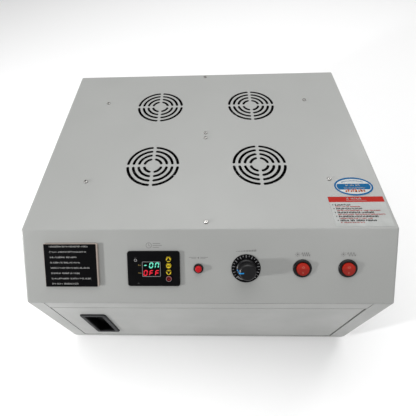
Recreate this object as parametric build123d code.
from build123d import *
import math
import os

# UV curing cabinet: a bench cabinet of folded steel sheet, with a sloped control panel, a curing chamber
# behind a hinged front door, and two fan-cooled UV lamp units under its roof.
# Millimetres. Origin: middle of the footprint, on the table. +Z up, door towards -Y, hinge at +X.

# ---------------------------------------------------------------- cabinet
WIDTH = 460.0               # side face to side face
DEPTH = 400.0               # front face to rear face
BODY_H = 242.0              # underside of the base tray to the roof
FOOT_H = 8.0
FOOT_STEM_R = 2.0
SLOPE_RUN = 68.5            # control panel, measured back from the front face
SLOPE_DROP = 64.3           # control panel, measured down from the roof
SHEET = 1.5
EDGE_R = 3.0                # outer radius of the folds
BASE_R = 9.0                # outer radius of the base tray's side folds
SEAM = 0.3                  # gap between neighbouring sheets
RIM = 4.0                   # how far the cover's edge is folded down over the sides
NOSE = 1.5                  # how far the cover's front edge is folded down
FRONT_SEAM = 0.8            # groove under the nose, and gap at either end of the front rail
LIP_H = 10.0                # base tray's lip below the door
RAIL_H = 20.9               # front rail between control panel and door
FOLD = 12.0                 # depth of the stiffening folds beside the door
REAR_FOLD = 15.0            # width of the side panels' folds beside the rear panel

HALF_W = WIDTH / 2
FRONT = -DEPTH / 2
BACK = DEPTH / 2
ROOF = FOOT_H + BODY_H
CREASE_Y = FRONT + SLOPE_RUN            # fold between roof and control panel
CREASE_Z = ROOF - SLOPE_DROP            # fold between control panel and front rail
NOSE_Z = CREASE_Z - NOSE
LIP_TOP = FOOT_H + LIP_H
RAIL_BOTTOM = CREASE_Z - RAIL_H

# ---------------------------------------------------------------- door
DOOR_LEFT = -208.0
DOOR_RIGHT = 202.8
DOOR_GAP = 1.6              # top and bottom
LATCH_GAP = 0.8             # left
HINGE_GAP = 3.0             # right, where the door's corner swings past the stile
DOOR_T = 15.0
HINGE_INSET = 5.0           # hinge axis, in from the door's right edge and front face
HINGE_PIN_R = 2.0
HINGE_FIT = 0.05            # radial clearance of pin in bush
BUSH_R = 3.2

HINGE_X = DOOR_RIGHT - HINGE_INSET
HINGE_Y = FRONT + HINGE_INSET
STILE_LEFT = DOOR_LEFT - LATCH_GAP
STILE_RIGHT = DOOR_RIGHT + HINGE_GAP
DOOR_BOTTOM = LIP_TOP + DOOR_GAP
DOOR_TOP = RAIL_BOTTOM - DOOR_GAP

HANDLE_X, HANDLE_Z = -161.2, 88.0
HANDLE_W, HANDLE_H = 36.6, 92.0
HANDLE_PROUD = 2.0
CUP_W, CUP_H, CUP_DEPTH = 25.5, 80.0, 12.0
CUP_WALL = 1.5

# ---------------------------------------------------------------- roof
FAN_X = 75.2
FAN_Y = (-26.1, 107.1)
SLOT_W = 4.0
SLOT_RINGS = (12.3, 20.1, 27.9, 35.7)   # centreline radii
SLOT_BRIDGE = 3.7                       # sheet left between neighbouring slots
LAMP_Y = (-46.0, 116.0)                 # middle of each lamp unit
LAMP_SCREW_X, LAMP_SCREW_Y = 165.0, 75.5
SIDE_SCREW_SHIFT = (-8.7, 2.0)            # side screws, off the middle of the front and rear unit

# ---------------------------------------------------------------- controls, on the sloped panel
CONTROL_V = 49.3                        # down the slope from the roof crease
TIMER_U, TIMER_W, TIMER_H, TIMER_PROUD = -65.2, 64.8, 44.3, 2.5
LENS_U, LENS_W, LENS_H = -67.8, 23.8, 20.7
KEY_U, KEY_R = -46.5, 3.5
KEY_V = {"up": 37.1, "set": 45.2, "down": 53.4, "power": 61.7}
BUTTON_U, BUTTON_R, BUTTON_CAP_R = -9.9, 6.05, 4.0
DIAL_U, DIAL_R = 48.4, 17.75
ROCKER_U = {"365": 116.6, "395": 171.1}
ROCKER_R, ROCKER_BARREL_R, PADDLE_R, PADDLE_WELL_R = 11.25, 9.9, 7.7, 8.6
ROCKER_TILT = 6.0                       # paddle stands this far to either side of level
PLATE_U, PLATE_V, PLATE_W, PLATE_H, PLATE_T = -167.6, 44.2, 67.5, 54.5, 3.0

# ---------------------------------------------------------------- chamber and lamps
CHAMBER_HALF_W = 186.0
CHAMBER_FRONT = -182.0
CHAMBER_BACK = 150.0
CEILING_Z = 166.0
FLOOR_Z = 24.0
MOUTH_BOTTOM, MOUTH_TOP = 28.0, 158.0    # height of the chamber's mouth in its face frame
WINDOW_W, WINDOW_D = 290.0, 120.0
FAN_SIZE, FAN_H = 80.0, 25.0
SINK_W, SINK_D, SINK_BASE = 306.0, 128.0, 6.0
SINK_Z = 180.0

SLOPE_LEN = math.hypot(SLOPE_RUN, SLOPE_DROP)
DOWN_SLOPE = Vector(0, -SLOPE_RUN, -SLOPE_DROP) / SLOPE_LEN
SLOPE_NORMAL = Vector(0, -SLOPE_DROP, SLOPE_RUN) / SLOPE_LEN


def on_panel(u, v=CONTROL_V, height=0.0):
    """A plane on the control panel: u to the right, v down the slope, local +Y up the slope."""
    origin = Vector(u, CREASE_Y, ROOF) + DOWN_SLOPE * v + SLOPE_NORMAL * height
    return Plane(origin=origin, x_dir=(1, 0, 0), z_dir=SLOPE_NORMAL)


def block(x0, x1, y0, y1, z0, z1):
    """A box from its lowest and highest corners."""
    middle = ((x0 + x1) / 2, (y0 + y1) / 2, (z0 + z1) / 2)
    return Pos(*middle) * Box(x1 - x0, y1 - y0, z1 - z0)


def drum(radius, z0, z1):
    """An upright cylinder between two heights."""
    return Pos(0, 0, (z0 + z1) / 2) * Cylinder(radius, z1 - z0)


def hexagon(across_flats, z0, z1):
    """An upright hexagonal bar between two heights."""
    corner_r = across_flats / math.sqrt(3)
    return Pos(0, 0, z0) * extrude(RegularPolygon(corner_r, 6), z1 - z0)


def rounded_slab(width, height, radius, z0, z1):
    """A flat slab with rounded corners, centred on the origin."""
    return Pos(0, 0, z0) * extrude(RectangleRounded(width, height, radius), z1 - z0)


def save(name, *pieces):
    """Write one node, keeping its pieces as separate solids."""
    solids = [solid for piece in pieces for solid in piece.solids()]
    export_step(Compound(children=solids) if len(solids) > 1 else solids[0], f"parts/{name}.step")


def hinge_pin_hole():
    """The hinge pins' bore, through every sheet that holds them."""
    return Pos(HINGE_X, HINGE_Y, 0) * drum(HINGE_PIN_R, 0, ROOF - SLOPE_DROP)


# ---------------------------------------------------------------- cabinet sheets
REAR_W = WIDTH - 2 * REAR_FOLD - 2 * SEAM
REAR_BOTTOM, REAR_TOP = LIP_TOP + SEAM, ROOF - RIM - SEAM


def foot_places():
    inset = 38.0
    return [(sx * (HALF_W - inset), sy * (BACK - inset)) for sx in (-1, 1) for sy in (-1, 1)]


def rear_screw_places():
    """X and Z of the rear panel's screws, three down each side."""
    side_x = REAR_W / 2 - 6
    middle_z = (REAR_BOTTOM + REAR_TOP) / 2
    return [(side * side_x, z) for side in (-1, 1) for z in (REAR_BOTTOM + 10, middle_z, REAR_TOP - 10)]


def cabinet_body(inset):
    """The cabinet's outer form, moved inwards by inset, with its folds rounded."""
    corners = [(FRONT, FOOT_H), (FRONT, CREASE_Z), (CREASE_Y, ROOF), (BACK, ROOF), (BACK, FOOT_H)]
    profile = make_face(Polyline(*corners, close=True).edges())
    if inset:
        profile = offset(profile, amount=-inset, kind=Kind.INTERSECTION)
    body = extrude(Plane.YZ * profile, amount=HALF_W - inset, both=True)
    body = fillet(body.edges().filter_by(Axis.Y).sort_by(Axis.Z)[:2], BASE_R - inset)
    bottom = FOOT_H + inset

    def is_sharp(edge):
        runs_back = abs((edge @ 1 - edge @ 0).Y) > 1
        middle = edge.center()
        flat_on_bottom = edge.geom_type == GeomType.LINE and abs(middle.Z - bottom) < 0.01 and runs_back
        beside_base_fold = abs(middle.X) > HALF_W - BASE_R - EDGE_R and middle.Z < bottom + BASE_R + 1
        return not flat_on_bottom and not (beside_base_fold and abs((edge @ 1 - edge @ 0).Y) > 50)

    return fillet([edge for edge in body.edges() if is_sharp(edge)], EDGE_R - inset)


def below_cover(gap=0.0, front_gap=0.0):
    """Everything under the cover's folded-down rim and nose, moved down by the gaps."""
    drop = RIM + gap
    low = Vector(0, FRONT, CREASE_Z) - SLOPE_NORMAL * drop
    slope = SLOPE_DROP / SLOPE_RUN
    nose, top = NOSE_Z - front_gap, ROOF - drop
    margin = 5.0
    front_y, back_y = FRONT - margin, BACK + margin
    corners = [(front_y, nose), (low.Y + (nose - low.Z) / slope, nose), (low.Y + (top - low.Z) / slope, top),
               (back_y, top), (back_y, -margin), (front_y, -margin)]
    return extrude(Plane.YZ * make_face(Polyline(*corners, close=True).edges()), amount=WIDTH, both=True)


def slot_ring(radius):
    """Four curved slots of one grille ring, parted by bridges on the X and Y axes."""
    end = math.degrees(math.asin((SLOT_BRIDGE + SLOT_W) / 2 / radius))
    slots = []
    for quarter in range(4):
        arc = CenterArc((0, 0), radius, quarter * 90 + end, 90 - 2 * end)
        slots.append(extrude(SlotArc(arc, SLOT_W), 4 * SHEET))
    return slots


def fan_places():
    """The four fans, left to right and front to back."""
    return [(x, y) for y in FAN_Y for x in (-FAN_X, FAN_X)]


def lamp_screw_places():
    """Four fixing points to a lamp unit, one near the middle of each side."""
    places = []
    for y, shift in zip(LAMP_Y, SIDE_SCREW_SHIFT):
        places += [(-LAMP_SCREW_X, y + shift), (LAMP_SCREW_X, y + shift)]
        places += [(0, y - LAMP_SCREW_Y), (0, y + LAMP_SCREW_Y)]
    return places


def panel_openings():
    """Cut-outs in the control panel for everything that is mounted through it."""
    deep, high = -3 * SHEET, SHEET
    cuts = [on_panel(TIMER_U) * rounded_slab(TIMER_W - 4, TIMER_H - 4, 1.0, deep, high)]
    cuts.append(on_panel(BUTTON_U) * drum(5.3, deep, high))
    cuts.append(on_panel(DIAL_U) * drum(4.6, deep, high))
    for u in ROCKER_U.values():
        cuts.append(on_panel(u) * drum(ROCKER_BARREL_R + 0.15, deep, high))
    return cuts


def make_cabinet():
    shell = cabinet_body(0) - cabinet_body(SHEET)
    front_zone = FRONT + SHEET

    cover = shell - below_cover()
    rail_left, rail_right = STILE_LEFT + FRONT_SEAM, STILE_RIGHT - FRONT_SEAM
    rail = shell & block(rail_left, rail_right, FRONT - 1, front_zone, RAIL_BOTTOM, CREASE_Z)
    cover += rail - block(rail_left, rail_right, FRONT - 1, FRONT + SHEET / 2, NOSE_Z - FRONT_SEAM, NOSE_Z)
    cover += block(rail_left, rail_right, FRONT, FRONT + FOLD, RAIL_BOTTOM, RAIL_BOTTOM + SHEET)
    cuts = panel_openings()
    for x, y in fan_places():
        for radius in SLOT_RINGS:
            cuts += [Pos(x, y, ROOF - 2 * SHEET) * slot for slot in slot_ring(radius)]
    for x, y in lamp_screw_places():
        cuts.append(Pos(x, y, 0) * drum(1.5, ROOF - 2 * SHEET, ROOF + 1))
    cuts.append(hinge_pin_hole())
    save("top_cover", cover - cuts)

    walls = shell & below_cover(SEAM, FRONT_SEAM) & block(-HALF_W, HALF_W, FRONT, BACK, LIP_TOP + SEAM, ROOF)
    fold_top = CREASE_Z - 2 * RIM
    for side, stile in ((-1, STILE_LEFT), (1, STILE_RIGHT)):
        zone = block(min(side * HALF_W, stile), max(side * HALF_W, stile), FRONT, 0, 0, ROOF)
        inner = side * (HALF_W - REAR_FOLD)
        zone += block(min(side * HALF_W, inner), max(side * HALF_W, inner), 0, BACK, 0, ROOF)
        panel = walls & zone
        stile_in = stile + side * SHEET
        panel += block(min(stile, stile_in), max(stile, stile_in), FRONT + SHEET / 2, FRONT + FOLD,
                       LIP_TOP + SEAM, fold_top)
        # strip that the rear panel is screwed to, lapped behind the rear fold
        lap, strip_end = side * (HALF_W - REAR_FOLD + 4), side * (HALF_W - REAR_FOLD - 14)
        panel += block(min(lap, strip_end), max(lap, strip_end), BACK - 2 * SHEET, BACK - SHEET,
                       LIP_TOP + 2, REAR_TOP - 2)
        cuts = [block(side * HALF_W - 5, side * HALF_W + 5, y - 2, y + 2, 190, 230)
                for y in range(30, 171, 10)]
        cuts += [Pos(x, BACK, z) * Rot(-90, 0, 0) * drum(1.5, -5, 5) for x, z in rear_screw_places()]
        save("side_panel_left" if side < 0 else "side_panel_right", panel - cuts)

    tray = shell & block(-HALF_W, HALF_W, FRONT, BACK, 0, LIP_TOP)
    tray += block(STILE_LEFT + 1, STILE_RIGHT - 1, FRONT + SHEET / 2, FRONT + FOLD, LIP_TOP - SHEET, LIP_TOP)
    holes = [Pos(x, y, 0) * drum(FOOT_STEM_R, 0, 2 * FOOT_H) for x, y in foot_places()]
    save("base_tray", tray - holes - hinge_pin_hole())


# ---------------------------------------------------------------- rear panel and what is on it
INLET_X, INLET_Z, INLET_W, INLET_H = 150.0, 60.0, 27.0, 20.0


def pan_head_screw(shank_r, head_r, head_h, length):
    """Cross-recess screw with a domed head; its head sits on Z = 0 and its shank points down."""
    head = drum(head_r, 0, head_h)
    head = fillet(head.edges().sort_by(Axis.Z)[-1], head_h * 0.7)
    arm = head_r * 1.1
    for angle in (0, 90):
        head -= Rot(0, 0, angle) * block(-arm / 2, arm / 2, -head_r * 0.13, head_r * 0.13, head_h * 0.45, head_h)
    return head + drum(shank_r, -length, 0)


def make_rear():
    plate = block(-REAR_W / 2, REAR_W / 2, BACK - SHEET, BACK, REAR_BOTTOM, REAR_TOP)
    y0, y1 = BACK - 5, BACK + 5
    vents = [block(x0, x0 + 60, y0, y1, z - 2, z + 2)
             for x0 in (-160, -80, 20, 100) for z in range(184, 225, 8)]
    holes = [Pos(x, BACK, z) * Rot(-90, 0, 0) * drum(1.5, -5, 5) for x, z in rear_screw_places()]
    inlet_cut = block(INLET_X - INLET_W / 2 - 0.2, INLET_X + INLET_W / 2 + 0.2, y0, y1,
                      INLET_Z - INLET_H / 2 - 0.2, INLET_Z + INLET_H / 2 + 0.2)
    save("rear_panel", plate - vents - holes - inlet_cut)

    screw = pan_head_screw(1.5, 2.8, 1.6, 4.0)
    save("rear_screws", *[Pos(x, BACK, z) * Rot(-90, 0, 0) * screw for x, z in rear_screw_places()])

    # three-blade mains inlet: flange, housing, socket with two chamfered corners
    flange = extrude(RectangleRounded(48, 24, 3), 2)
    housing = block(-INLET_W / 2, INLET_W / 2, -INLET_H / 2, INLET_H / 2, -22, 0)
    socket = extrude(Rectangle(24, 16.5), -17) + extrude(Rectangle(24, 16.5), 2)
    socket = chamfer(socket.edges().filter_by(Axis.Z).sort_by(Axis.Y)[-2:], 4)
    inlet = flange + housing - socket - [Pos(x, 0, 0) * drum(1.6, -1, 3) for x in (-20, 20)]
    blades = [Pos(x, y, 0) * block(-1, 1, -2, 2, -17, -2) for x, y in ((-7, -2), (7, -2), (0, 3))]
    place = Pos(INLET_X, BACK, INLET_Z) * Rot(-90, 0, 0) * Rot(0, 0, 180)
    save("mains_inlet", place * inlet, *[place * blade for blade in blades])


# ---------------------------------------------------------------- feet
def make_feet():
    """Push-in rubber feet, held by a bulb on a stem through the tray."""
    foot = Pos(0, 0, FOOT_H / 2) * Cone(9.0, 10.5, FOOT_H)
    foot += drum(FOOT_STEM_R, FOOT_H, FOOT_H + SHEET)
    foot += Pos(0, 0, FOOT_H + SHEET + 1.5) * Cone(3.4, 1.6, 3.0)
    save("feet", *[Pos(x, y, 0) * foot for x, y in foot_places()])


# ---------------------------------------------------------------- chamber
def make_chamber():
    half, wall = CHAMBER_HALF_W, SHEET
    liner = block(-half, half, CHAMBER_FRONT, CHAMBER_BACK, FLOOR_Z, CEILING_Z)
    liner -= block(-half + wall, half - wall, CHAMBER_FRONT - 1, CHAMBER_BACK - wall, 0, ROOF)
    # face frame around the chamber's mouth, which the door's gasket rests on
    outer = HALF_W - 4
    face = block(-outer, outer, CHAMBER_FRONT, CHAMBER_FRONT + wall, LIP_TOP, CEILING_Z)
    face -= block(-half + wall, half - wall, CHAMBER_FRONT - 1, CHAMBER_FRONT + 5, MOUTH_BOTTOM, MOUTH_TOP)
    save("chamber_liner", liner + face)
    floor_front = CHAMBER_FRONT + wall
    save("chamber_floor", block(-half + 2, half - 2, floor_front, CHAMBER_BACK - 2, FLOOR_Z - 3, FLOOR_Z))

    ceiling = block(-half, half, CHAMBER_FRONT, CHAMBER_BACK + 40, CEILING_Z, CEILING_Z + wall)
    for y in LAMP_Y:
        window = extrude(Rectangle(WINDOW_W, WINDOW_D), 20)
        ceiling -= Pos(0, y, CEILING_Z - 10) * window
    save("ceiling_plate", ceiling)


def make_lamps():
    standoffs, chips = [], []
    for name, y in zip(("front", "rear"), LAMP_Y):
        glass = block(-WINDOW_W / 2 - 8, WINDOW_W / 2 + 8, y - WINDOW_D / 2 - 8, y + WINDOW_D / 2 + 8,
                      CEILING_Z + SHEET, CEILING_Z + SHEET + 4)
        save(f"lamp_window_{name}", glass)

        board = block(-140, 140, y - 55, y + 55, SINK_Z - 1.6, SINK_Z)
        save(f"led_board_{name}", board)
        chip = block(-3.5, 3.5, -3.5, 3.5, SINK_Z - 3.0, SINK_Z - 1.6)
        chip -= Pos(0, 0, SINK_Z - 3.0) * Cylinder(2.4, 1.0)
        for column in range(10):
            chips += [Pos(-121.5 + 27 * column, y + dy, 0) * chip for dy in (-40, -13.3, 13.3, 40)]

        # finned aluminium block on a wide base plate, which the roof carries on four standoffs
        sink = block(-LAMP_SCREW_X - 6, LAMP_SCREW_X + 6, y - 79, y + 79, SINK_Z, SINK_Z + SINK_BASE)
        fin_top = ROOF - SHEET - FAN_H - 0.5
        for row in range(17):
            fin_y = y - SINK_D / 2 + row * 8.0
            sink += block(-SINK_W / 2, SINK_W / 2, fin_y - 1, fin_y + 1, SINK_Z + SINK_BASE - 0.5, fin_top)
        save(f"heat_sink_{name}", sink)
    save("led_chips", *chips)

    screw = pan_head_screw(1.5, 2.8, 1.6, 8.0)
    pillar = hexagon(6.0, SINK_Z + SINK_BASE, ROOF - SHEET) - drum(1.5, ROOF - 12, ROOF)
    save("top_screws", *[Pos(x, y, ROOF) * Rot(0, 0, 31 * i) * screw
                         for i, (x, y) in enumerate(lamp_screw_places())])
    save("lamp_standoffs", *[Pos(x, y, 0) * pillar for x, y in lamp_screw_places()])


# ---------------------------------------------------------------- fans
FAN_BORE_R, HUB_R, HUB_H = 38.0, 16.0, 16.0
FAN_TOP = ROOF - SHEET


def make_fans():
    bottom = FAN_TOP - FAN_H
    frame = rounded_slab(FAN_SIZE, FAN_SIZE, 5, bottom, FAN_TOP)
    frame -= drum(FAN_BORE_R, bottom - 1, FAN_TOP + 1)
    for x in (-35.75, 35.75):
        frame -= [Pos(x, y, 0) * drum(2.15, bottom - 1, FAN_TOP + 1) for y in (-35.75, 35.75)]
    # motor plate and its four arms, below the rotor
    frame += drum(17.0, bottom, bottom + 3)
    for angle in (45, 135, 225, 315):
        frame += Rot(0, 0, angle) * block(15, FAN_BORE_R + 1, -2, 2, bottom, bottom + 3)
    frame += drum(1.5, bottom, bottom + 13)

    low = bottom + 4
    rotor = drum(HUB_R, low, low + HUB_H) - drum(1.55, low - 1, low + 10)
    blade = Pos(25.5, 0, low + HUB_H / 2) * Rot(38, 0, 0) * Box(21.5, 17.0, 1.4)
    for number in range(7):
        rotor += Rot(0, 0, number * 360 / 7) * blade
    for number, (x, y) in enumerate(fan_places(), start=1):
        save(f"fan_frame_{number}", Pos(x, y, 0) * frame)
        save(f"fan_rotor_{number}", Pos(x, y, 0) * Rot(0, 0, 17 * number) * rotor)


def make_drivers():
    """One LED driver in each space between chamber and side panel."""
    for side, name in ((-1, "left"), (1, "right")):
        x0, x1 = side * (CHAMBER_HALF_W + 4), side * (HALF_W - SHEET - 6)
        case = block(min(x0, x1), max(x0, x1), -70, 130, 40, 140)
        case = fillet(case.edges().filter_by(Axis.Y), 3)
        tabs = [block(min(x0, x1) + 8, max(x0, x1) - 8, y - 8, y + 8, 55, 57) for y in (-76, 136)]
        save(f"led_driver_{name}", case + tabs)


# ---------------------------------------------------------------- controls
def make_timer():
    place = on_panel(TIMER_U)
    body = rounded_slab(TIMER_W, TIMER_H, 3.0, 0, TIMER_PROUD)
    body = fillet(body.edges().group_by(Axis.Z)[-1], 0.8)
    body += rounded_slab(TIMER_W - 4.6, TIMER_H - 4.6, 1.0, -34, 0)
    lens_x = LENS_U - TIMER_U
    body -= Pos(lens_x, 0, 0) * rounded_slab(LENS_W, LENS_H, 0.8, TIMER_PROUD - 1.4, TIMER_PROUD + 1)
    key_x = KEY_U - TIMER_U
    wells = [Pos(key_x, CONTROL_V - v, 0) * drum(KEY_R + 0.3, -2.5, TIMER_PROUD + 1) for v in KEY_V.values()]
    save("timer_body", place * (body - wells))

    lens = rounded_slab(LENS_W - 0.2, LENS_H - 0.2, 0.7, TIMER_PROUD - 1.4, TIMER_PROUD + 0.3)
    save("timer_lens", place * Pos(lens_x, 0, 0) * lens)

    key = drum(KEY_R, -1.0, TIMER_PROUD + 0.9)
    key = fillet(key.edges().sort_by(Axis.Z)[-1], 0.5)
    for name, v in KEY_V.items():
        save(f"timer_key_{name}", on_panel(KEY_U, v) * key)


def make_button():
    place = on_panel(BUTTON_U)
    body = drum(BUTTON_R, 0, 2.2)
    body = fillet(body.edges().sort_by(Axis.Z)[-1], 1.0)
    body += drum(5.2, -16, 0)
    body -= drum(BUTTON_CAP_R + 0.3, -9, 5)
    body += [block(x - 0.3, x + 0.3, -1.4, 1.4, -23, -15.5) for x in (-2.6, 2.6)]
    save("button_body", place * body)

    cap = drum(BUTTON_CAP_R, -6, 5.2)
    cap = fillet(cap.edges().sort_by(Axis.Z)[-1], 1.6)
    save("button_cap", place * cap)
    save("button_nut", place * (hexagon(14, -SHEET - 3, -SHEET) - drum(5.2, -9, 0)))


DIAL_T = 0.8
SHAFT_R = 3.0


def make_dial():
    place = on_panel(DIAL_U)
    save("dial_plate", place * (drum(DIAL_R, 0, DIAL_T) - drum(4.6, -1, 3)))

    # knob: skirt, waist and tapered grip, turned about the shaft
    outline = [(0, 1.6), (11.8, 1.6), (11.8, 3.4), (10.6, 4.6), (9.9, 15.8), (8.6, 17.0), (0, 17.0)]
    grip = revolve(Plane.XZ * make_face(Polyline(*outline, close=True).edges()), Axis.Z)
    grip -= drum(8.2, 1, 7.0)
    grip -= drum(SHAFT_R, 1, 14.0)
    save("knob", place * grip)
    save("pot_shaft", place * drum(SHAFT_R, -9.5, 14.0))

    pot = drum(12.0, -13.5, -SHEET) + drum(4.5, -SHEET, 5.6)
    pot -= drum(SHAFT_R + 0.05, -10, 6)
    pot += [block(x - 1, x + 1, -17, -11, -8.5, -7.7) for x in (-5, 0, 5)]
    save("potentiometer", place * pot)
    save("pot_nut", place * (hexagon(12, DIAL_T, DIAL_T + 2) - drum(4.5, 0, 4)))


def make_rockers():
    body = drum(ROCKER_R, 0, 2.0)
    body = fillet(body.edges().sort_by(Axis.Z)[-1], 1.2)
    body += drum(ROCKER_BARREL_R, -17, 0)
    body -= drum(PADDLE_WELL_R, -10, 3)
    body += [block(x - 3.1, x + 3.1, y - 0.4, y + 0.4, -25, -16.5) for x, y in ((0, -5), (0, 5))]

    # paddle: a round stub whose top is a shallow valley, standing off level by half its throw
    top, valley, reach = 4.4, 3.3, PADDLE_R + 1
    outline = [(-reach, -5), (reach, -5), (reach, top), (0, valley), (-reach, top)]
    wedge = extrude(Plane.YZ * make_face(Polyline(*outline, close=True).edges()), amount=reach, both=True)
    paddle = drum(PADDLE_R, -5, 6) & wedge
    paddle = Rot(ROCKER_TILT, 0, 0) * paddle
    for name, u in ROCKER_U.items():
        save(f"rocker_body_{name}", on_panel(u) * body)
        save(f"rocker_paddle_{name}", on_panel(u) * paddle)


def make_plates():
    plate = rounded_slab(PLATE_W, PLATE_H, 1.2, 0, PLATE_T)
    save("nameplate", on_panel(PLATE_U, PLATE_V) * chamfer(plate.edges().group_by(Axis.Z)[-1], 0.4))
    thin = 0.25
    save("label_sheet", block(155.8, 224.8, CREASE_Y + 2.2, CREASE_Y + 46.9, ROOF, ROOF + thin))
    oval = extrude(Ellipse(25.2, 15.6), thin)
    save("label_oval", Pos(193.4, CREASE_Y + 63.8, ROOF) * oval)


# ---------------------------------------------------------------- door
LINER_T = 1.2
BRACKET_T = 2.0


def make_door():
    x0, x1, z0, z1 = DOOR_LEFT, DOOR_RIGHT, DOOR_BOTTOM, DOOR_TOP
    pan = block(x0, x1, FRONT, FRONT + DOOR_T, z0, z1)
    pan = fillet(pan.edges().group_by(Axis.Y)[0], 1.0)
    pan -= block(x0 + SHEET, x1 - SHEET, FRONT + SHEET, FRONT + DOOR_T + 1, z0 + SHEET, z1 - SHEET)
    cut_w, cut_h = (CUP_W + 2 * CUP_WALL) / 2 + 0.2, (CUP_H + 2 * CUP_WALL) / 2 + 0.2
    pan -= block(HANDLE_X - cut_w, HANDLE_X + cut_w, FRONT - 1, FRONT + 3, HANDLE_Z - cut_h, HANDLE_Z + cut_h)
    pan -= Pos(HINGE_X, HINGE_Y, 0) * drum(BUSH_R, z0 - 1, z1 + 1)
    save("door_panel", pan)

    liner_y = FRONT + DOOR_T
    save("door_liner", block(x0 + 3, x1 - 3, liner_y, liner_y + LINER_T, z0 + 3, z1 - 3))
    gasket_y = liner_y + LINER_T
    half = CHAMBER_HALF_W
    ring = block(-half - 7, half + 4, gasket_y, gasket_y + 1.3, MOUTH_BOTTOM - 5, MOUTH_TOP + 4.5)
    ring -= block(-half - 1, half - 1, gasket_y - 1, gasket_y + 3, MOUTH_BOTTOM - 0.5, MOUTH_TOP + 0.5)
    save("door_gasket", ring)

    # cup handle: rounded bezel on the door's face, cup sunk through it with a finger lip at its left
    bezel = extrude(RectangleRounded(HANDLE_W, HANDLE_H, 4), HANDLE_PROUD)
    bezel = fillet(bezel.edges().group_by(Axis.Z)[-1], 1.2)
    cup = extrude(RectangleRounded(CUP_W + 2 * CUP_WALL, CUP_H + 2 * CUP_WALL, 3), -CUP_DEPTH - CUP_WALL + 1)
    hollow = Pos(0, 0, -CUP_DEPTH + 1) * extrude(RectangleRounded(CUP_W, CUP_H, 2), CUP_DEPTH + 5)
    handle = bezel + cup - hollow
    save("door_handle", Pos(HANDLE_X, FRONT, HANDLE_Z) * Rot(90, 0, 0) * handle)

    bush_ends = ((z0 - 0.6, z0 + 6), (z1 - 6, z1 + 0.6))
    axis_at = Pos(HINGE_X, HINGE_Y, 0)
    save("door_bushes", *[axis_at * (drum(BUSH_R, a, b) - drum(HINGE_PIN_R + HINGE_FIT, a - 1, b + 1))
                          for a, b in bush_ends])
    pin_ends = ((LIP_TOP - SHEET - BRACKET_T, z0 + 9), (z1 - 9, RAIL_BOTTOM + SHEET + BRACKET_T))
    save("hinge_pins", *[axis_at * drum(HINGE_PIN_R, a, b) for a, b in pin_ends])


def make_door_fittings():
    """Cabinet-side hinge brackets, magnet catch and the plate it pulls on."""
    top_z, low_z = RAIL_BOTTOM + SHEET, LIP_TOP - SHEET
    x0, x1 = HINGE_X - 16, HINGE_X + 6
    y0, y1 = FRONT + SHEET, FRONT + SHEET + 10
    top = block(x0, x1, y0, y1, top_z, top_z + BRACKET_T) + block(x0, x1, y0, y0 + 2, top_z, top_z + 9)
    low = block(x0, x1, y0, y1, low_z - BRACKET_T, low_z)
    save("hinge_brackets", top - hinge_pin_hole(), low - hinge_pin_hole())

    magnet_x = DOOR_LEFT + 40
    magnet = block(magnet_x - 15, magnet_x + 15, CHAMBER_FRONT, CHAMBER_FRONT + 13, MOUTH_TOP - 14, MOUTH_TOP)
    magnet += block(magnet_x - 9, magnet_x + 9, CHAMBER_FRONT + SHEET, CHAMBER_FRONT + 5, MOUTH_TOP, CEILING_Z)
    save("catch_magnet", magnet)
    plate_y = FRONT + DOOR_T + LINER_T
    save("catch_plate", block(magnet_x - 13, magnet_x + 13, plate_y, plate_y + 1.5,
                              MOUTH_TOP - 12, MOUTH_TOP - 2))


os.makedirs("parts", exist_ok=True)
make_cabinet()
make_rear()
make_feet()
make_chamber()
make_lamps()
make_fans()
make_drivers()
make_timer()
make_button()
make_dial()
make_rockers()
make_plates()
make_door()
make_door_fittings()
